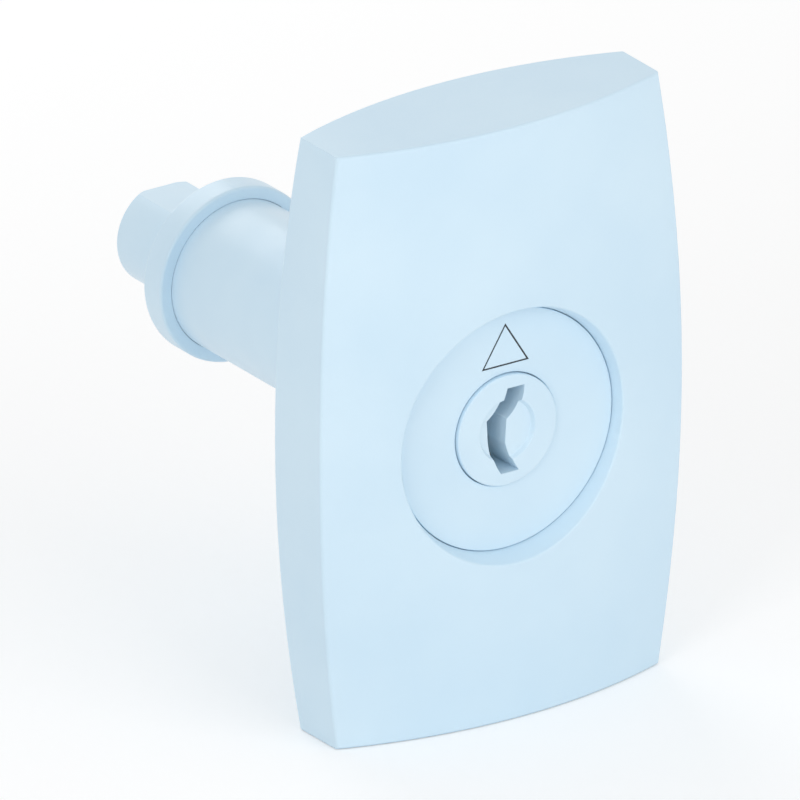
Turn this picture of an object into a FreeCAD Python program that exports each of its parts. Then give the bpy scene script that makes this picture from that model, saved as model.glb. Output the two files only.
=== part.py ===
import FreeCAD, Part
import math
import os

os.makedirs("parts", exist_ok=True)
V = FreeCAD.Vector

# All sizes in millimetres. X is right, Y goes to the rear, Z is up; the lock axis is the Y axis.
# Y is 0 at the seat that rests on the door.

# Grip plate, outside
plate_width = 39.0
plate_height = 64.4
plate_centre_z = 1.5
side_bulge = 2.44
front_corner_y = -12.4
back_corner_y = -5.8
front_plan_rise = 3.5
front_crown = 0.2
front_side_crown = 2.1
back_plan_rise = 3.6
back_crown = 2.0
back_side_crown = 2.0

# Grip plate, inside
cover_wall = 1.8
side_wall = 2.4
lid_inset = 1.2
lid_gap = 0.1
lid_skirt = 1.2
ledge_y = -7.4
recess_r = 13.0
recess_draft = 0.3
recess_floor_y = -13.7
disc_play = 0.1
disc_thickness = 0.8
cup_wall = 1.6
cup_floor = 1.5

# Cover screws
screw_x = 13.2
screw_z = 22.0
screw_r = 1.25
screw_head_r = 2.2
screw_head_height = 1.4
screw_head_y = -4.4
screw_length = 6.8
screw_boss_r = 2.6
screw_pad_r = 3.4
screw_play = 0.04
screw_tip_room = 0.4
screw_hole_r = 1.35
screw_head_play = 0.1
socket_across = 2.0
socket_depth = 0.8

# Barrel
barrel_r = 8.0
barrel_play = 0.05
barrel_end_y = 33.8
flange_r = 11.0
flange_thickness = 2.0
flange_flat_x = 9.2
rib_thickness = 1.4
rib_half_height = 5.5
seat_boss_r = 12.0
counterbore_r = 7.05
counterbore_length = 7.8
groove_play = 0.07
groove_side_play = 0.13
groove_start_y = -11.2
groove_end_y = 8.0

# Rear collar
collar_r = 9.35
collar_length = 3.1
spigot_length = 5.1
spigot_play = 0.04
collar_nest = 0.5
seal_wall = 0.89
seal_width = 1.0
seal_start = 1.0
seal_play = 0.03
seal_side_play = 0.1

# Key plug
head_r = 5.97
face_y = -14.1
head_back_y = -12.0
head_play = 0.04
body_r = 5.5
running_play = 0.03
plug_end_y = 13.0
dish_r = 3.36
dish_draft = 0.26
dish_depth = 0.45
keyway_end_y = 7.0
tongue_length = 6.0
tongue_half = 2.5
tongue_play = 0.03

# Wafers
wafer_count = 5
wafer_first_y = -8.0
wafer_pitch = 3.0
wafer_thickness = 0.5
wafer_half_width = 3.37
wafer_sink = 0.03
wafer_travel = 0.6
slot_play = 0.03
window_left = -2.35
window_right = 2.2
window_half_height = 3.5
ear_end_x = 4.7
ear_half_height = 0.5
spring_x = 4.1
spring_seat_z = 2.45
spring_pocket_r = 0.55
spring_coil_r = 0.36
spring_wire_r = 0.09
spring_turns = 4
spring_steps_per_turn = 8
spring_wire_sides = 4

# Drive spindle
journal_r = 5.8
drive_r = 5.5
drive_shoulder_depth = 0.2
spindle_gap = 0.15
drive_length = 10.7
drive_flat = 4.7
drive_start_gap = 0.3
neck_r = 5.2
fork_gap = 0.1
cross_pin_r = 1.2
cross_pin_y = 16.2
cross_pin_sink = 0.2
cross_pin_play = 0.02
stop_flange_play = 0.1
stop_flange_gap = 0.1
stop_flange_thickness = 1.8
stop_turn = 90.0
stop_pin_r = 0.5
stop_pin_radius = 6.45
stop_pin_depth = 1.5
stop_pin_play = 0.02
stop_margin = 0.4
washer_gap = 0.05
washer_play = 0.1
washer_thickness = 0.6
end_chamfer = 0.4

# Keyway corners and arc middles, as (X, Z) seen from the front
keyway_top_right = (2.04, 4.5)
keyway_upper_bend = (1.32, 2.12)
keyway_right_cusp = (0.18, 1.03)
keyway_waist = (0.0, -1.5)
keyway_lower_bend = (0.62, -3.3)
keyway_bottom_right = (1.36, -4.6)
keyway_bottom_left = (-0.76, -4.6)
keyway_belly_bend = (-1.8, -2.4)
keyway_belly = (-2.12, 0.0)
keyway_left_cusp = (-2.2, 1.28)
keyway_shoulder_bend = (-0.85, 2.6)
keyway_top_left = (0.02, 4.5)

# Cuts and blanks run past the lock this far
front_end = -25.0
rear_end = 60.0
beyond = 40.0
dome_spare = 3.0

# Derived from the sizes above
half_width = plate_width / 2
half_height = plate_height / 2
side_radius = (half_height ** 2 + side_bulge ** 2) / (2 * side_bulge)
side_centre = half_width + side_bulge - side_radius
disc_back_y = recess_floor_y + disc_thickness
cup_back_y = disc_back_y + cup_floor
flange_back_y = cup_back_y + flange_thickness
collar_end_y = barrel_end_y + collar_length
barrel_tip_y = barrel_end_y + collar_nest
counterbore_y = barrel_end_y - counterbore_length
stop_flange_y = counterbore_y + stop_flange_gap
drive_shoulder_y = collar_end_y - drive_shoulder_depth
drive_start_y = collar_end_y + drive_start_gap
spindle_end_y = collar_end_y + drive_length
spigot_start_y = barrel_end_y - spigot_length
stop_flange_end_y = stop_flange_y + stop_flange_thickness
bore_r = body_r + running_play
spindle_bore_r = journal_r + running_play
seal_outer_r = spindle_bore_r + seal_wall
wafer_r = body_r - wafer_sink
groove_r = wafer_r + wafer_travel + groove_play
stop_flange_r = counterbore_r - stop_flange_play


def cylinder(radius, start, end, x=0.0, z=0.0):
    """A cylinder along Y."""
    return Part.makeCylinder(radius, end - start, V(x, start, z), V(0, 1, 0))


def box(x0, x1, y0, y1, z0, z1):
    return Part.makeBox(x1 - x0, y1 - y0, z1 - z0, V(x0, y0, z0))


def outline_prism(inset, start, end):
    """The barrel-shaped plate outline, drawn in by inset and extended along Y."""
    radius = side_radius - inset
    reach = half_height - inset
    corner = side_centre + math.sqrt(radius ** 2 - reach ** 2)
    middle = side_centre + radius
    low = plate_centre_z - reach
    high = plate_centre_z + reach
    right = Part.Arc(V(corner, start, low), V(middle, start, plate_centre_z), V(corner, start, high))
    left = Part.Arc(V(-corner, start, high), V(-middle, start, plate_centre_z), V(-corner, start, low))
    top = Part.makeLine(V(corner, start, high), V(-corner, start, high))
    bottom = Part.makeLine(V(-corner, start, low), V(corner, start, low))
    wire = Part.Wire([right.toShape(), top, left.toShape(), bottom])
    return Part.Face(wire).extrude(V(0, end - start, 0))


def plan_radius(rise):
    """The radius of a plan arc that rises this much over the plate's corner width."""
    return (half_width ** 2 + rise ** 2) / (2 * rise)


def plan_profile(reach, edge, apex, far, z):
    """A plan arc at height z, closed by straight lines at far."""
    return Part.Wire([
        Part.Arc(V(-reach, edge, z), V(0, apex, z), V(reach, edge, z)).toShape(),
        Part.makeLine(V(reach, edge, z), V(reach, far, z)),
        Part.makeLine(V(reach, far, z), V(-reach, far, z)),
        Part.makeLine(V(-reach, far, z), V(-reach, edge, z)),
    ])


def dome_space(corner_y, rise, crown, side_crown, side):
    """The space inside a domed face, lofted through plan arcs above, at and below the plate's middle.

    side is -1 for the front face and 1 for the back.
    """
    radius = plan_radius(rise)
    reach = half_width + side_bulge + dome_spare
    fall = radius - math.sqrt(radius ** 2 - reach ** 2)
    tall = half_height + dome_spare
    profiles = []
    for height in (-tall, 0.0, tall):
        share = 1 - (height / half_height) ** 2
        apex = corner_y + side * (rise + crown * share)
        edge = corner_y + side * (rise - fall + side_crown * share)
        profiles.append(plan_profile(reach, edge, apex, -side * beyond, plate_centre_z + height))
    return Part.makeLoft(profiles, True, False)


def hollow_space(corner_y, rise, side):
    """The room inside a cover's wall, curved in plan only; side is as in dome_space."""
    radius = plan_radius(rise) - cover_wall
    reach = half_width + side_bulge
    apex = corner_y + side * (rise - cover_wall)
    edge = apex - side * (radius - math.sqrt(radius ** 2 - reach ** 2))
    low = plate_centre_z - half_height
    face = Part.Face(plan_profile(reach, edge, apex, -side * beyond, low))
    return face.extrude(V(0, 0, plate_height))


def plate_body():
    front = dome_space(front_corner_y, front_plan_rise, front_crown, front_side_crown, -1)
    back = dome_space(back_corner_y, back_plan_rise, back_crown, back_side_crown, 1)
    return outline_prism(0.0, front_end, rear_end).common(front).common(back)


def recess_space():
    """The round recess: straight where the disc sits, then widening towards the front."""
    seat = cylinder(recess_r, recess_floor_y, disc_back_y)
    length = recess_floor_y - front_end
    mouth_r = recess_r + recess_draft * length
    return seat.fuse(Part.makeCone(recess_r, mouth_r, length, V(0, recess_floor_y, 0), V(0, -1, 0)))


def screw_points():
    points = []
    for sx in (-1, 1):
        for sz in (-1, 1):
            points.append((sx * screw_x, plate_centre_z + sz * screw_z))
    return points


def make_front_cover(plate):
    cavity = outline_prism(side_wall, front_end, ledge_y)
    cavity = cavity.common(hollow_space(front_corner_y, front_plan_rise, -1))
    cavity = cavity.cut(cylinder(recess_r + cup_wall, front_end, cup_back_y))
    for x, z in screw_points():
        cavity = cavity.cut(cylinder(screw_boss_r, front_end, ledge_y, x, z))
    for side in (-1, 1):
        inner = flange_flat_x + barrel_play
        x0 = min(side * inner, side * (inner + rib_thickness))
        rib = box(x0, x0 + rib_thickness, front_end, flange_back_y, -rib_half_height, rib_half_height)
        cavity = cavity.cut(rib)
    cover = plate.cut(cavity)
    cover = cover.cut(outline_prism(lid_inset, ledge_y, rear_end))
    cover = cover.cut(recess_space())
    cover = cover.cut(cylinder(barrel_r + barrel_play, front_end, rear_end))
    for x, z in screw_points():
        tip = screw_head_y - screw_length - screw_tip_room
        cover = cover.cut(cylinder(screw_r + screw_play, tip, rear_end, x, z))
    return cover


def make_back_cover(plate):
    inset = lid_inset + lid_gap
    lid = plate.common(outline_prism(inset, ledge_y, rear_end))
    hollow = outline_prism(inset + lid_skirt, front_end, rear_end)
    hollow = hollow.common(hollow_space(back_corner_y, back_plan_rise, 1))
    for x, z in screw_points():
        hollow = hollow.cut(cylinder(screw_pad_r, ledge_y, rear_end, x, z))
    hub = cylinder(flange_r, flange_back_y, 0.0)
    lid = lid.cut(hollow.cut(hub))
    lid = lid.fuse(hub)
    lid = lid.fuse(cylinder(seat_boss_r, back_corner_y + back_plan_rise - cover_wall, 0.0))
    lid = lid.cut(cylinder(barrel_r + barrel_play, front_end, rear_end))
    for x, z in screw_points():
        lid = lid.cut(cylinder(screw_hole_r, front_end, rear_end, x, z))
        lid = lid.cut(cylinder(screw_head_r + screw_head_play, screw_head_y, rear_end, x, z))
    return lid.removeSplitter()


def make_recess_disc():
    disc = cylinder(recess_r - disc_play, recess_floor_y, disc_back_y)
    return disc.cut(cylinder(head_r + disc_play, front_end, rear_end))


def hexagon_prism(across, start, end, x, z):
    corner = across / math.sqrt(3)
    points = []
    for i in range(7):
        angle = math.radians(60 * i)
        points.append(V(x + corner * math.cos(angle), start, z + corner * math.sin(angle)))
    return Part.Face(Part.makePolygon(points)).extrude(V(0, end - start, 0))


def make_cover_screws():
    screws = []
    head_top = screw_head_y + screw_head_height
    for x, z in screw_points():
        head = cylinder(screw_head_r, screw_head_y, head_top, x, z)
        shank = cylinder(screw_r, screw_head_y - screw_length, screw_head_y, x, z)
        socket = hexagon_prism(socket_across, head_top - socket_depth, rear_end, x, z)
        screws.append(head.fuse(shank).cut(socket))
    return Part.makeCompound(screws)


def make_barrel_tube():
    tube = cylinder(barrel_r, disc_back_y, barrel_tip_y)
    flange = cylinder(flange_r, cup_back_y, flange_back_y)
    flats = box(-flange_flat_x, flange_flat_x, front_end, rear_end, -beyond, beyond)
    tube = tube.fuse(flange.common(flats))
    tube = tube.cut(cylinder(bore_r, front_end, rear_end))
    tube = tube.cut(cylinder(spindle_bore_r, plug_end_y, rear_end))
    tube = tube.cut(cylinder(head_r + head_play, front_end, head_back_y))
    tube = tube.cut(cylinder(counterbore_r, counterbore_y, rear_end))
    groove_ring = cylinder(groove_r, groove_start_y, groove_end_y)
    half = wafer_half_width + groove_side_play
    tube = tube.cut(groove_ring.common(box(-half, half, front_end, rear_end, -beyond, beyond)))
    tube = tube.cut(groove_ring.common(box(-beyond, beyond, front_end, rear_end, -half, half)))
    hole_r = stop_pin_r + stop_pin_play
    tube = tube.cut(cylinder(hole_r, counterbore_y - stop_pin_depth, rear_end, 0, -stop_pin_radius))
    return tube.removeSplitter()


def make_rear_collar():
    collar = cylinder(collar_r, barrel_end_y, collar_end_y)
    collar = collar.cut(cylinder(barrel_r + barrel_play, front_end, barrel_tip_y))
    collar = collar.fuse(cylinder(counterbore_r - spigot_play, spigot_start_y, barrel_tip_y))
    collar = collar.cut(cylinder(spindle_bore_r, front_end, rear_end))
    groove_start = barrel_end_y + seal_start
    groove_end = groove_start + seal_width + seal_side_play
    collar = collar.cut(cylinder(seal_outer_r + seal_play, groove_start, groove_end))
    return collar.removeSplitter()


def make_shaft_seal():
    start = barrel_end_y + seal_start
    ring = cylinder(seal_outer_r, start, start + seal_width)
    return ring.cut(cylinder(spindle_bore_r, front_end, rear_end))


def make_stop_pin():
    start = counterbore_y - stop_pin_depth
    return cylinder(stop_pin_r, start, stop_flange_end_y, 0, -stop_pin_radius)


def make_thrust_washer():
    start = stop_flange_end_y + washer_gap
    ring = cylinder(stop_flange_r, start, start + washer_thickness)
    return ring.cut(cylinder(journal_r + washer_play, front_end, rear_end))


def keyway_prism(start, end):
    """The brace-shaped key profile, extended along Y."""
    def point(place):
        return V(place[0], start, place[1])

    def arc(first, middle, last):
        return Part.Arc(point(first), point(middle), point(last)).toShape()

    def line(first, last):
        return Part.makeLine(point(first), point(last))

    wire = Part.Wire([
        arc(keyway_top_right, keyway_upper_bend, keyway_right_cusp),
        line(keyway_right_cusp, keyway_waist),
        arc(keyway_waist, keyway_lower_bend, keyway_bottom_right),
        line(keyway_bottom_right, keyway_bottom_left),
        arc(keyway_bottom_left, keyway_belly_bend, keyway_belly),
        line(keyway_belly, keyway_left_cusp),
        arc(keyway_left_cusp, keyway_shoulder_bend, keyway_top_left),
        line(keyway_top_left, keyway_top_right),
    ])
    return Part.Face(wire).extrude(V(0, end - start, 0))


def wafer_y(index):
    return wafer_first_y + wafer_pitch * index


def wafer_up(index):
    """Every other wafer is pushed up, and the rest down."""
    return 1 if index % 2 == 0 else -1


def make_wafer(index):
    y0 = wafer_y(index) - wafer_thickness / 2
    y1 = y0 + wafer_thickness
    body = cylinder(wafer_r, y0, y1)
    body = body.common(box(-wafer_half_width, wafer_half_width, y0, y1, -beyond, beyond))
    ear = box(window_right, ear_end_x, y0, y1, -ear_half_height, ear_half_height)
    window = box(window_left, window_right, y0, y1, -window_half_height, window_half_height)
    return body.fuse(ear).cut(window).removeSplitter()


def make_wafer_spring(index):
    """A small coil between its seat in the plug and the wafer's ear, bent in short straight steps."""
    length = spring_seat_z - ear_half_height - 2 * spring_wire_r
    steps = spring_turns * spring_steps_per_turn
    route = []
    for step in range(steps + 1):
        angle = 2 * math.pi * step / spring_steps_per_turn
        x = spring_coil_r * math.cos(angle)
        y = spring_coil_r * math.sin(angle)
        route.append(V(x, y, length * step / steps))
    ahead = (route[1] - route[0]).normalize()
    across = ahead.cross(V(1, 0, 0)).normalize()
    outward = across.cross(ahead).normalize()
    section = []
    for corner in range(spring_wire_sides + 1):
        angle = 2 * math.pi * corner / spring_wire_sides
        offset = outward * (spring_wire_r * math.cos(angle)) + across * (spring_wire_r * math.sin(angle))
        section.append(route[0] + offset)
    coil = Part.makePolygon(route).makePipeShell([Part.makePolygon(section)], True, False, 1)
    coil.translate(V(spring_x, wafer_y(index), spring_wire_r - spring_seat_z))
    if wafer_up(index) < 0:
        coil.rotate(V(0, wafer_y(index), 0), V(1, 0, 0), 180)
    return coil


def make_key_plug():
    plug = cylinder(head_r, face_y, head_back_y)
    plug = plug.fuse(cylinder(body_r, head_back_y, plug_end_y))
    tongue = cylinder(body_r, plug_end_y, plug_end_y + tongue_length)
    plug = plug.fuse(tongue.common(box(-tongue_half, tongue_half, front_end, rear_end, -beyond, beyond)))
    plug = plug.cut(Part.makeCone(dish_r, dish_r - dish_draft, dish_depth, V(0, face_y, 0), V(0, 1, 0)))
    plug = plug.cut(keyway_prism(front_end, keyway_end_y))
    for index in range(wafer_count):
        plug = plug.cut(wafer_slot(index))
    return plug.cut(cross_hole()).removeSplitter()


def wafer_slot(index):
    """The room for one wafer, its ear and its spring, open on the side that the wafer comes out of."""
    up = wafer_up(index)
    y0 = wafer_y(index) - wafer_thickness / 2 - slot_play
    y1 = wafer_y(index) + wafer_thickness / 2 + slot_play
    side = wafer_half_width + slot_play
    slot = box(-side, side, y0, y1, -beyond, beyond)
    ear_foot = up * (-ear_half_height - slot_play)
    low = min(ear_foot, up * beyond)
    high = max(ear_foot, up * beyond)
    slot = slot.fuse(box(0, ear_end_x + slot_play, y0, y1, low, high))
    foot = V(spring_x, wafer_y(index), -up * spring_seat_z)
    return slot.fuse(Part.makeCylinder(spring_pocket_r, beyond, foot, V(0, 0, up)))


def cross_hole():
    radius = cross_pin_r + cross_pin_play
    return Part.makeCylinder(radius, 2 * beyond, V(-beyond, cross_pin_y, 0), V(1, 0, 0))


def make_coupling_pin():
    half = body_r - cross_pin_sink
    return Part.makeCylinder(cross_pin_r, 2 * half, V(-half, cross_pin_y, 0), V(1, 0, 0))


def stop_notch():
    """The sector that the stop pin runs in, from -Z round to +X, with room for the pin itself."""
    margin = math.degrees(math.asin(stop_pin_r / stop_pin_radius)) + stop_margin
    sweep = stop_turn + 2 * margin
    notch = Part.makeCylinder(beyond, 2 * beyond, V(0, -beyond, 0), V(0, 1, 0), sweep)
    middle = notch.CenterOfMass
    halfway = 180.0 - stop_turn / 2
    notch.rotate(V(0, 0, 0), V(0, 1, 0), halfway - math.degrees(math.atan2(middle.x, middle.z)))
    return notch


def make_drive_spindle():
    lead_y = spindle_end_y - end_chamfer
    shaft = cylinder(drive_r, drive_start_y, lead_y)
    lead = Part.makeCone(drive_r, drive_r - end_chamfer, end_chamfer, V(0, lead_y, 0), V(0, 1, 0))
    shaft = shaft.fuse(lead)
    shaft = shaft.fuse(cylinder(neck_r, drive_shoulder_y, drive_start_y))
    shaft = shaft.fuse(cylinder(journal_r, plug_end_y + spindle_gap, drive_shoulder_y))
    flange = cylinder(stop_flange_r, stop_flange_y, stop_flange_end_y)
    shaft = shaft.fuse(flange.cut(stop_notch()))
    slot_half = tongue_half + tongue_play
    slot_end = plug_end_y + tongue_length + fork_gap
    shaft = shaft.cut(box(-slot_half, slot_half, front_end, slot_end, -beyond, beyond))
    shaft = shaft.cut(box(-beyond, beyond, drive_start_y, rear_end, drive_flat, beyond))
    return shaft.cut(cross_hole()).removeSplitter()


def save(name, shape):
    shape.exportStep(os.path.join("parts", name + ".step"))
    print(name, "solids", len(shape.Solids), "valid", shape.isValid(), "volume", round(shape.Volume, 2))


def main():
    plate = plate_body()
    save("front_cover", make_front_cover(plate))
    save("back_cover", make_back_cover(plate))
    save("recess_disc", make_recess_disc())
    save("cover_screws", make_cover_screws())
    save("barrel_tube", make_barrel_tube())
    save("rear_collar", make_rear_collar())
    save("shaft_seal", make_shaft_seal())
    save("stop_pin", make_stop_pin())
    save("thrust_washer", make_thrust_washer())
    save("key_plug", make_key_plug())
    save("coupling_pin", make_coupling_pin())
    save("drive_spindle", make_drive_spindle())
    for index in range(wafer_count):
        save("wafer_%d" % (index + 1), make_wafer(index))
        save("wafer_spring_%d" % (index + 1), make_wafer_spring(index))


main()
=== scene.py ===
import math
import bmesh
import bpy
import numpy as np
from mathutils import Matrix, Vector


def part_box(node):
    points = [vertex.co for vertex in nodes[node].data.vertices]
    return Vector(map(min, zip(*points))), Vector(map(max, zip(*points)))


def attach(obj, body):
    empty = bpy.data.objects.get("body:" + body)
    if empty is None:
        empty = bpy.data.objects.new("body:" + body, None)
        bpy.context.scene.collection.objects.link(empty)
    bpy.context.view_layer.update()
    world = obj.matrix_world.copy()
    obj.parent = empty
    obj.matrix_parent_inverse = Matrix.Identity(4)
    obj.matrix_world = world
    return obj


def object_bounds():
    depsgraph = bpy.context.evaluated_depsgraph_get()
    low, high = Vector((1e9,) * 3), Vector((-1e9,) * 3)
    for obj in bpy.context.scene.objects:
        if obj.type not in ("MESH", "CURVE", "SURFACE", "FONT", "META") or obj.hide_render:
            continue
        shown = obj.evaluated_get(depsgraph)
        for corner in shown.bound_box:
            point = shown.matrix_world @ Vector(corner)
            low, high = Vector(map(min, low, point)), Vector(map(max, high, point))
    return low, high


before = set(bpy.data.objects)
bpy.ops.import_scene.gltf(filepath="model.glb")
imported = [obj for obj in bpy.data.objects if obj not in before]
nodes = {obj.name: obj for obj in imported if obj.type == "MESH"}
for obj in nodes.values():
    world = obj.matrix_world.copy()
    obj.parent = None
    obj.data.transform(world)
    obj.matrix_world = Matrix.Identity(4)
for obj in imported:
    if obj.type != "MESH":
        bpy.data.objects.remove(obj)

MM = 0.001
cad_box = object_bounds()
disc_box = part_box("recess_disc")
barrel_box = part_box("barrel_tube")
collar_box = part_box("rear_collar")
plug_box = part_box("key_plug")

# Camera: a parallel projection from the front, a little from the left and above
VIEW_AZIMUTH = math.radians(-34.27)
VIEW_ELEVATION = math.radians(23.16)
VIEW_WIDTH = 80.0 * MM
VIEW_DISTANCE = 0.6
VIEW_NEAREST = 0.01
VIEW_FARTHEST = 5.0
AIM_RIGHT = -2.82 * MM
AIM_UP = -1.56 * MM

# The triangle sign on the recess disc
SIGN_APEX_Z = 11.5 * MM
SIGN_BASE_Z = 6.92 * MM
SIGN_HALF_WIDTH = 2.87 * MM
SIGN_LINE = 0.19 * MM
SIGN_DEPTH = 0.2 * MM
SIGN_FILL = 0.05 * MM
SIGN_SIDE_GAP = 0.002 * MM

# Colours, linear
PALE_BLUE = (0.665, 0.838, 0.956, 1.0)
PALE_BLUE_SHADE = (0.625, 0.805, 0.935, 1.0)
LINE_PAINT = (0.035, 0.045, 0.055, 1.0)
LINE_PAINT_SHADE = (0.021, 0.027, 0.033, 1.0)
STEEL = (0.52, 0.53, 0.55, 1.0)
STEEL_SHADE = (0.40, 0.41, 0.43, 1.0)
BRASS = (0.72, 0.55, 0.27, 1.0)
BRASS_SHADE = (0.58, 0.42, 0.18, 1.0)
RUBBER = (0.022, 0.022, 0.024, 1.0)
RUBBER_SHADE = (0.040, 0.040, 0.042, 1.0)
FLOOR_WHITE = (0.93, 0.93, 0.93, 1.0)
WORLD_WHITE = (1.0, 1.0, 1.0, 1.0)

# Surface detail: noise scales are in features per metre, bumps in metres
NOISE_LOW = 0.35
NOISE_HIGH = 0.65
CLOUD_DETAIL = 3.0
GRAIN_DETAIL = 5.0
MARK_DETAIL = 4.0
PEEL_DETAIL = 1.0
NO_STRETCH = (1.0, 1.0, 1.0)
FLOW_SCALE = 60.0
GRIP_GRAIN_SCALE = 4200.0
GRIP_GRAIN_STRENGTH = 0.25
DISC_GRAIN_SCALE = 3000.0
DISC_GRAIN_STRENGTH = 0.15
GRAIN_BUMP = 0.02 * MM
PLASTIC_IOR = 1.48
COAT_CLOUD_SCALE = 90.0
COAT_PEEL_SCALE = 260.0
COAT_WEIGHT = 0.15
COAT_ROUGHNESS = 0.32
LATHE_PITCH = 0.4 * MM
LATHE_BUMP = 0.003 * MM
LATHE_STRENGTH = 0.15
LATHE_DISTORTION = 0.5
WAVE_PERIOD = math.pi / 10.0
METAL_CLOUD_SCALE = 150.0
METAL_BUMP = 0.008 * MM
METAL_STRENGTH = 0.4
SCREW_MARK_SCALE = 800.0
GROUND_MARK_SCALE = 2500.0
STAMPED_MARK_SCALE = 900.0
STAMPED_STRETCH = (1.0, 1.0, 0.1)
RUBBER_BLOOM_SCALE = 500.0
RUBBER_BUMP = 0.01 * MM
RUBBER_STRENGTH = 0.3
PAINT_SPECKLE_SCALE = 2500.0

# Roughness, lowest and highest
PLASTIC_ROUGHNESS = (0.38, 0.52)
COAT_BASE_ROUGHNESS = (0.31, 0.41)
PLUG_BASE_ROUGHNESS = (0.3, 0.38)
SCREW_ROUGHNESS = (0.31, 0.46)
GROUND_ROUGHNESS = (0.3, 0.38)
BRASS_ROUGHNESS = (0.3, 0.5)
RUBBER_ROUGHNESS = (0.6, 0.8)
PAINT_ROUGHNESS = (0.45, 0.65)

# Edges sharper than this stay crisp
SHARP_ANGLE = math.radians(32.0)

# Soft edges: widths, and where the rounded rims are
GRIP_EDGE = 0.3 * MM
BACK_EDGE = 0.25 * MM
DISC_EDGE = 0.1 * MM
COLLAR_EDGE = 0.3 * MM
PLUG_EDGE = 0.16 * MM
EDGE_SEGMENTS = 3
WELD_REACH = 0.0005 * MM
NEAR = 0.03 * MM
COLLAR_REACH = 0.3 * MM
PLATE_CORNER_X = 19.5 * MM
PLATE_TOLERANCE = 0.1 * MM
RECESS_RIM_REACH = 1.2 * MM
RECESS_RIM_DEPTH = 0.5 * MM
RECESS_RIM_SHARE = 0.6
PLUG_FRONT_DEPTH = 0.5 * MM
KEYWAY_EDGE_SHARE = 0.3

# Floor and light levels; the floor lies just under the grip
FLOOR_SIZE = 4.0
FLOOR_GAP = 0.05 * MM
FLOOR_GLOW = 0.16
WORLD_LIGHT = 0.68
BACKGROUND_LIGHT = 1.0

# Lamps, all aimed at the origin: name, place, size and power
LAMPS = (
    ("key", (-0.42, -0.24, 0.22), 0.20, 0.40),
    ("fill", (0.08, -0.46, 0.16), 0.40, 0.54),
    ("back", (0.08, 0.44, 0.22), 0.30, 0.45),
)


def new_material(name):
    """A material with its node tree, its shader and its object coordinates."""
    material = bpy.data.materials.new(name)
    material.use_nodes = True
    tree = material.node_tree
    shader = tree.nodes["Principled BSDF"]
    place = tree.nodes.new("ShaderNodeTexCoord")
    return material, tree, shader, place.outputs["Object"]


def noise(tree, place, scale, detail, stretch=NO_STRETCH):
    mapping = tree.nodes.new("ShaderNodeMapping")
    mapping.inputs["Scale"].default_value = stretch
    texture = tree.nodes.new("ShaderNodeTexNoise")
    texture.inputs["Scale"].default_value = scale
    texture.inputs["Detail"].default_value = detail
    tree.links.new(place, mapping.inputs["Vector"])
    tree.links.new(mapping.outputs["Vector"], texture.inputs["Vector"])
    return texture.outputs["Fac"]


def spread(tree, value, low, high):
    """A noise value, mostly between NOISE_LOW and NOISE_HIGH, spread over low to high."""
    span = tree.nodes.new("ShaderNodeMapRange")
    span.inputs["From Min"].default_value = NOISE_LOW
    span.inputs["From Max"].default_value = NOISE_HIGH
    span.inputs["To Min"].default_value = low
    span.inputs["To Max"].default_value = high
    tree.links.new(value, span.inputs["Value"])
    return span.outputs["Result"]


def colour_by(tree, shader, value, first, second):
    """The base colour runs from first to second with a noise value."""
    mix = tree.nodes.new("ShaderNodeMix")
    mix.data_type = "RGBA"  # its colour sockets are A, 6, and B, 7, and its colour result is 2
    mix.inputs[6].default_value = first
    mix.inputs[7].default_value = second
    tree.links.new(spread(tree, value, 0.0, 1.0), mix.inputs["Factor"])
    tree.links.new(mix.outputs[2], shader.inputs["Base Color"])


def roughen(tree, shader, value, low_high):
    tree.links.new(spread(tree, value, *low_high), shader.inputs["Roughness"])


def add_bump(tree, shader, height, distance, strength, before=None):
    bump = tree.nodes.new("ShaderNodeBump")
    bump.inputs["Distance"].default_value = distance
    bump.inputs["Strength"].default_value = strength
    tree.links.new(height, bump.inputs["Height"])
    if before is not None:
        tree.links.new(before.outputs["Normal"], bump.inputs["Normal"])
    tree.links.new(bump.outputs["Normal"], shader.inputs["Normal"])
    return bump


def moulded(name, grain, grain_strength):
    """Pale blue moulded plastic: fine spark-eroded grain, faint flow clouds, slightly uneven gloss."""
    material, tree, shader, place = new_material(name)
    clouds = noise(tree, place, FLOW_SCALE, CLOUD_DETAIL)
    fine = noise(tree, place, grain, GRAIN_DETAIL)
    colour_by(tree, shader, clouds, PALE_BLUE, PALE_BLUE_SHADE)
    roughen(tree, shader, fine, PLASTIC_ROUGHNESS)
    shader.inputs["IOR"].default_value = PLASTIC_IOR
    add_bump(tree, shader, fine, GRAIN_BUMP, grain_strength)
    return material


def lathe_rings(tree, place, direction):
    """Slightly uneven fine grooves: bands along Y on a turned side, rings round Y on a turned end."""
    wave = tree.nodes.new("ShaderNodeTexWave")
    wave.wave_type = "RINGS" if direction == "end" else "BANDS"
    wave.rings_direction = "Y"
    wave.bands_direction = "Y"
    wave.inputs["Scale"].default_value = WAVE_PERIOD / LATHE_PITCH
    wave.inputs["Distortion"].default_value = LATHE_DISTORTION
    wave.inputs["Detail"].default_value = 1.0
    tree.links.new(place, wave.inputs["Vector"])
    return wave.outputs["Fac"]


def turned(name, roughness):
    """Pale blue coat on turned metal: the lathe's fine rings round the Y axis show through."""
    material, tree, shader, place = new_material(name)
    clouds = noise(tree, place, COAT_CLOUD_SCALE, CLOUD_DETAIL)
    peel = noise(tree, place, COAT_PEEL_SCALE, PEEL_DETAIL)
    colour_by(tree, shader, clouds, PALE_BLUE, PALE_BLUE_SHADE)
    roughen(tree, shader, peel, roughness)
    shader.inputs["Coat Weight"].default_value = COAT_WEIGHT
    shader.inputs["Coat Roughness"].default_value = COAT_ROUGHNESS
    bump = None
    for direction in ("side", "end"):
        bump = add_bump(tree, shader, lathe_rings(tree, place, direction), LATHE_BUMP, LATHE_STRENGTH, bump)
    return material


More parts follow.
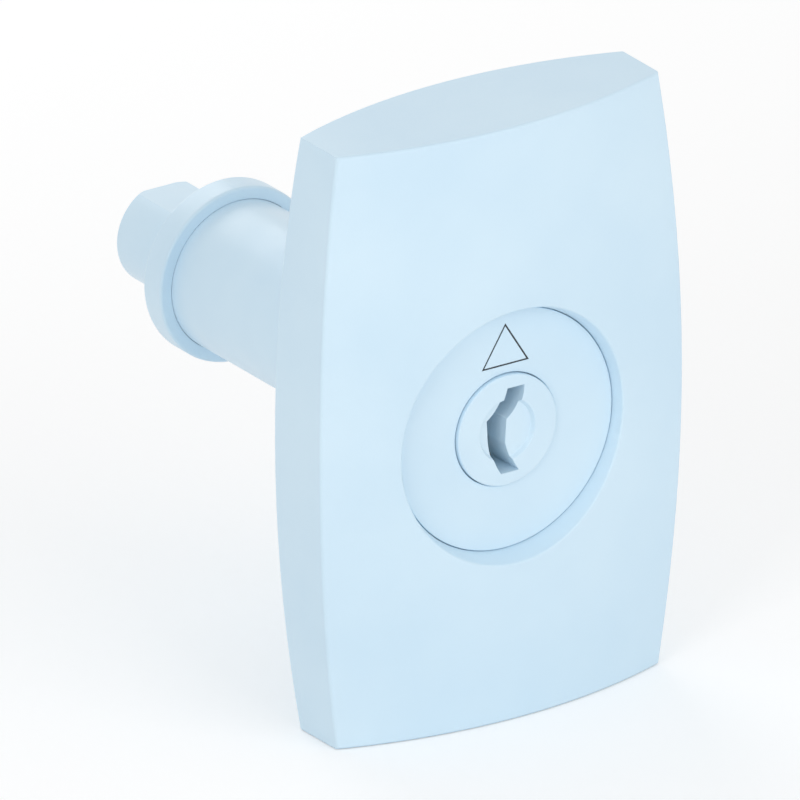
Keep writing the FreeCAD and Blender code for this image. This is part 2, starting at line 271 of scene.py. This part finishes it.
def bare_metal(name, base, shade, roughness, scale, stretch=NO_STRETCH):
    """Uncoated metal with fine working marks."""
    material, tree, shader, place = new_material(name)
    marks = noise(tree, place, scale, MARK_DETAIL, stretch)
    clouds = noise(tree, place, METAL_CLOUD_SCALE, CLOUD_DETAIL)
    colour_by(tree, shader, clouds, base, shade)
    roughen(tree, shader, marks, roughness)
    shader.inputs["Metallic"].default_value = 1.0
    add_bump(tree, shader, marks, METAL_BUMP, METAL_STRENGTH)
    return material


def rubber(name):
    material, tree, shader, place = new_material(name)
    bloom = noise(tree, place, RUBBER_BLOOM_SCALE, MARK_DETAIL)
    colour_by(tree, shader, bloom, RUBBER, RUBBER_SHADE)
    roughen(tree, shader, bloom, RUBBER_ROUGHNESS)
    add_bump(tree, shader, bloom, RUBBER_BUMP, RUBBER_STRENGTH)
    return material


def paint_fill(name):
    """The dark paint in the sign's engraved line."""
    material, tree, shader, place = new_material(name)
    speckle = noise(tree, place, PAINT_SPECKLE_SCALE, CLOUD_DETAIL)
    colour_by(tree, shader, speckle, LINE_PAINT, LINE_PAINT_SHADE)
    roughen(tree, shader, speckle, PAINT_ROUGHNESS)
    return material


def weigh_edges(mesh, weight_at):
    """Stores how much each outline edge of a CAD face is to be rounded, from the weights at its two ends.

    The CAD faces share no vertices, so an outline edge is one that a single face uses.
    """
    count = len(mesh.edges)
    users = np.zeros(len(mesh.loops), np.int32)
    mesh.loops.foreach_get("edge_index", users)
    outline = np.bincount(users, minlength=count) == 1
    weight = np.array([weight_at(vertex.co) for vertex in mesh.vertices])
    ends = np.zeros(2 * count, np.int32)
    mesh.edges.foreach_get("vertices", ends)
    ends = ends.reshape(-1, 2)
    values = np.minimum(weight[ends[:, 0]], weight[ends[:, 1]]) * outline
    stored = mesh.attributes.new("bevel_weight_edge", "FLOAT", "EDGE")
    stored.data.foreach_set("value", values.astype(np.float32))


def dress(name, material, edge=0.0, weight_at=None):
    """Gives a CAD node its material, rounds its weighted edges by up to edge and shades it smooth.

    Creases sharper than SHARP_ANGLE stay crisp.
    """
    thing = nodes[name]
    mesh = thing.data
    mesh.materials.clear()
    mesh.materials.append(material)
    mesh.polygons.foreach_set("material_index", [0] * len(mesh.polygons))
    mesh.polygons.foreach_set("use_smooth", [True] * len(mesh.polygons))
    if weight_at:
        weigh_edges(mesh, weight_at)
    mesh.update()
    weld = thing.modifiers.new("weld", "WELD")
    weld.merge_threshold = WELD_REACH
    if weight_at:
        bevel = thing.modifiers.new("soft_edges", "BEVEL")
        bevel.width = edge
        bevel.segments = EDGE_SEGMENTS
        bevel.limit_method = "WEIGHT"
        bevel.use_clamp_overlap = False
    split = thing.modifiers.new("crisp", "EDGE_SPLIT")
    split.split_angle = SHARP_ANGLE
    split.use_edge_sharp = False
    thing.modifiers.new("even_normals", "WEIGHTED_NORMAL")


def round_y(point):
    """The distance from the lock's axis."""
    return math.hypot(point.x, point.z)


def grip_weight(point):
    """The front cover's outline, front and back, and more lightly the rim of its recess."""
    middle = (cad_box[0].z + cad_box[1].z) / 2
    share = (point.z - middle) / (cad_box[1].z - middle)
    side = cad_box[1].x - (cad_box[1].x - PLATE_CORNER_X) * share ** 2
    if abs(point.x) > side - PLATE_TOLERANCE or abs(share) > 1 - PLATE_TOLERANCE / cad_box[1].z:
        return 1.0
    near_recess = round_y(point) < disc_box[1].x + RECESS_RIM_REACH
    return RECESS_RIM_SHARE if near_recess and point.y < disc_box[0].y - RECESS_RIM_DEPTH else 0.0


def back_weight(point):
    """The rim of the seat that rests on the door."""
    return 1.0 if round_y(point) > barrel_box[1].z and point.y > -NEAR else 0.0


def collar_weight(point):
    """The collar's outer rims."""
    return 1.0 if round_y(point) > collar_box[1].x - COLLAR_REACH else 0.0


def disc_weight(point):
    """The disc's front edges."""
    return 1.0 if point.y < disc_box[0].y + NEAR else 0.0


def plug_weight(point):
    """The plug's front rim, and more lightly the dish and the keyway's mouth."""
    if point.y > plug_box[0].y + PLUG_FRONT_DEPTH:
        return 0.0
    return 1.0 if round_y(point) > plug_box[1].x - NEAR else KEYWAY_EDGE_SHARE


def triangle_ring(name, front_y, back_y, inset=0.0):
    """The sign's line as a closed triangular frame between two planes."""
    height = SIGN_APEX_Z - SIGN_BASE_Z
    slant = math.hypot(SIGN_HALF_WIDTH, height)
    inner_r = SIGN_HALF_WIDTH * height / (SIGN_HALF_WIDTH + slant)
    centre = Vector((0.0, 0.0, SIGN_BASE_Z + inner_r))
    corners = [
        Vector((0.0, 0.0, SIGN_APEX_Z)),
        Vector((SIGN_HALF_WIDTH, 0.0, SIGN_BASE_Z)),
        Vector((-SIGN_HALF_WIDTH, 0.0, SIGN_BASE_Z)),
    ]
    outer, inner = inset, SIGN_LINE - inset
    mesh = bmesh.new()
    loops = []
    for shrink, y in ((outer, front_y), (inner, front_y), (inner, back_y), (outer, back_y)):
        factor = 1.0 - shrink / inner_r
        points = [centre + (corner - centre) * factor for corner in corners]
        loops.append([mesh.verts.new((point.x, y, point.z)) for point in points])
    for first, second in zip(loops, loops[1:] + loops[:1]):
        for j in range(3):
            k = (j + 1) % 3
            mesh.faces.new((first[j], first[k], second[k], second[j]))
    bmesh.ops.recalc_face_normals(mesh, faces=mesh.faces)
    data = bpy.data.meshes.new(name)
    mesh.to_mesh(data)
    mesh.free()
    piece = bpy.data.objects.new(name, data)
    bpy.context.scene.collection.objects.link(piece)
    return piece


def engrave_sign():
    """Cuts the triangle's line into the recess disc and fills it with dark paint."""
    disc = nodes["recess_disc"]
    face_y = disc_box[0].y
    cutter = triangle_ring("sign_cutter", face_y - SIGN_DEPTH, face_y + SIGN_DEPTH)
    cut = disc.modifiers.new("sign", "BOOLEAN")
    cut.operation = "DIFFERENCE"
    cut.solver = "EXACT"
    cut.object = cutter
    disc.modifiers.move(disc.modifiers.find("sign"), disc.modifiers.find("crisp"))
    cutter.hide_render = True
    cutter.hide_viewport = True
    fill = triangle_ring("sign_paint", face_y + SIGN_FILL, face_y + SIGN_DEPTH, SIGN_SIDE_GAP)
    fill.data.materials.append(paint_fill("sign_paint"))
    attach(fill, "housing")


def dress_nodes():
    plastic = moulded("grip_plastic", GRIP_GRAIN_SCALE, GRIP_GRAIN_STRENGTH)
    disc_plastic = moulded("disc_plastic", DISC_GRAIN_SCALE, DISC_GRAIN_STRENGTH)
    coat = turned("barrel_coat", COAT_BASE_ROUGHNESS)
    plug_coat = turned("plug_coat", PLUG_BASE_ROUGHNESS)
    steel = bare_metal("screw_steel", STEEL, STEEL_SHADE, SCREW_ROUGHNESS, SCREW_MARK_SCALE)
    pin = bare_metal("ground_steel", STEEL, STEEL_SHADE, GROUND_ROUGHNESS, GROUND_MARK_SCALE)
    brass = bare_metal(
        "stamped_brass", BRASS, BRASS_SHADE, BRASS_ROUGHNESS, STAMPED_MARK_SCALE, STAMPED_STRETCH
    )
    dress("front_cover", plastic, GRIP_EDGE, grip_weight)
    dress("back_cover", plastic, BACK_EDGE, back_weight)
    dress("recess_disc", disc_plastic, DISC_EDGE, disc_weight)
    dress("cover_screws", steel)
    dress("barrel_tube", coat)
    dress("rear_collar", coat, COLLAR_EDGE, collar_weight)
    dress("key_plug", plug_coat, PLUG_EDGE, plug_weight)
    dress("drive_spindle", plug_coat)
    dress("shaft_seal", rubber("seal_rubber"))
    for name in ("stop_pin", "thrust_washer", "coupling_pin"):
        dress(name, pin)
    for name in sorted(nodes):
        if name.startswith("wafer_"):
            dress(name, pin if name.startswith("wafer_spring") else brass)


def background_rays(tree):
    """1 for the rays that show the background: the camera's, and those that gloss or glass sends on."""
    path = tree.nodes.new("ShaderNodeLightPath")
    seen = path.outputs["Is Camera Ray"]
    for ray in ("Is Glossy Ray", "Is Transmission Ray"):
        either = tree.nodes.new("ShaderNodeMath")
        either.operation = "MAXIMUM"
        tree.links.new(seen, either.inputs[0])
        tree.links.new(path.outputs[ray], either.inputs[1])
        seen = either.outputs[0]
    return seen


def make_floor():
    """A plain pale floor just under the grip; the camera sees it near white where nothing shades it."""
    bpy.ops.mesh.primitive_plane_add(size=FLOOR_SIZE, location=(0, 0, cad_box[0].z - FLOOR_GAP))
    floor = bpy.context.object
    floor.name = "floor"
    material = bpy.data.materials.new("floor")
    material.use_nodes = True
    tree = material.node_tree
    tree.nodes.clear()
    output = tree.nodes.new("ShaderNodeOutputMaterial")
    matt = tree.nodes.new("ShaderNodeBsdfDiffuse")
    matt.inputs["Color"].default_value = FLOOR_WHITE
    glow = tree.nodes.new("ShaderNodeEmission")
    strength = tree.nodes.new("ShaderNodeMath")
    strength.operation = "MULTIPLY"
    strength.inputs[1].default_value = FLOOR_GLOW
    both = tree.nodes.new("ShaderNodeAddShader")
    tree.links.new(background_rays(tree), strength.inputs[0])
    tree.links.new(strength.outputs[0], glow.inputs["Strength"])
    tree.links.new(matt.outputs[0], both.inputs[0])
    tree.links.new(glow.outputs[0], both.inputs[1])
    tree.links.new(both.outputs[0], output.inputs["Surface"])
    floor.data.materials.append(material)


def make_world():
    """An even white surrounding, brighter to the rays that show the background."""
    world = bpy.data.worlds.new("studio")
    world.use_nodes = True
    tree = world.node_tree
    background = tree.nodes["Background"]
    background.inputs["Color"].default_value = WORLD_WHITE
    level = tree.nodes.new("ShaderNodeMapRange")
    level.inputs["To Min"].default_value = WORLD_LIGHT
    level.inputs["To Max"].default_value = BACKGROUND_LIGHT
    tree.links.new(background_rays(tree), level.inputs["Value"])
    tree.links.new(level.outputs["Result"], background.inputs["Strength"])
    bpy.context.scene.world = world


def make_lamps():
    for name, place, size, power in LAMPS:
        lamp = bpy.data.lights.new(name, "AREA")
        lamp.shape = "SQUARE"
        lamp.size = size
        lamp.energy = power
        thing = bpy.data.objects.new(name, lamp)
        thing.location = place
        aim = -Vector(place)
        thing.rotation_mode = "QUATERNION"
        thing.rotation_quaternion = aim.to_track_quat("-Z", "Y")
        bpy.context.scene.collection.objects.link(thing)


def make_camera():
    camera = bpy.data.cameras.new("camera")
    camera.type = "ORTHO"
    camera.ortho_scale = VIEW_WIDTH
    camera.clip_start = VIEW_NEAREST
    camera.clip_end = VIEW_FARTHEST
    thing = bpy.data.objects.new("camera", camera)
    flat = math.cos(VIEW_ELEVATION)
    back = Vector((math.sin(VIEW_AZIMUTH) * flat, -math.cos(VIEW_AZIMUTH) * flat, math.sin(VIEW_ELEVATION)))
    turn = (-back).to_track_quat("-Z", "Y")
    right = turn @ Vector((1.0, 0.0, 0.0))
    up = turn @ Vector((0.0, 1.0, 0.0))
    thing.rotation_mode = "QUATERNION"
    thing.rotation_quaternion = turn
    thing.location = right * AIM_RIGHT + up * AIM_UP + back * VIEW_DISTANCE
    bpy.context.scene.collection.objects.link(thing)
    bpy.context.scene.camera = thing


dress_nodes()
engrave_sign()
make_floor()
make_world()
make_lamps()
make_camera()
bpy.context.scene.view_settings.view_transform = "Standard"
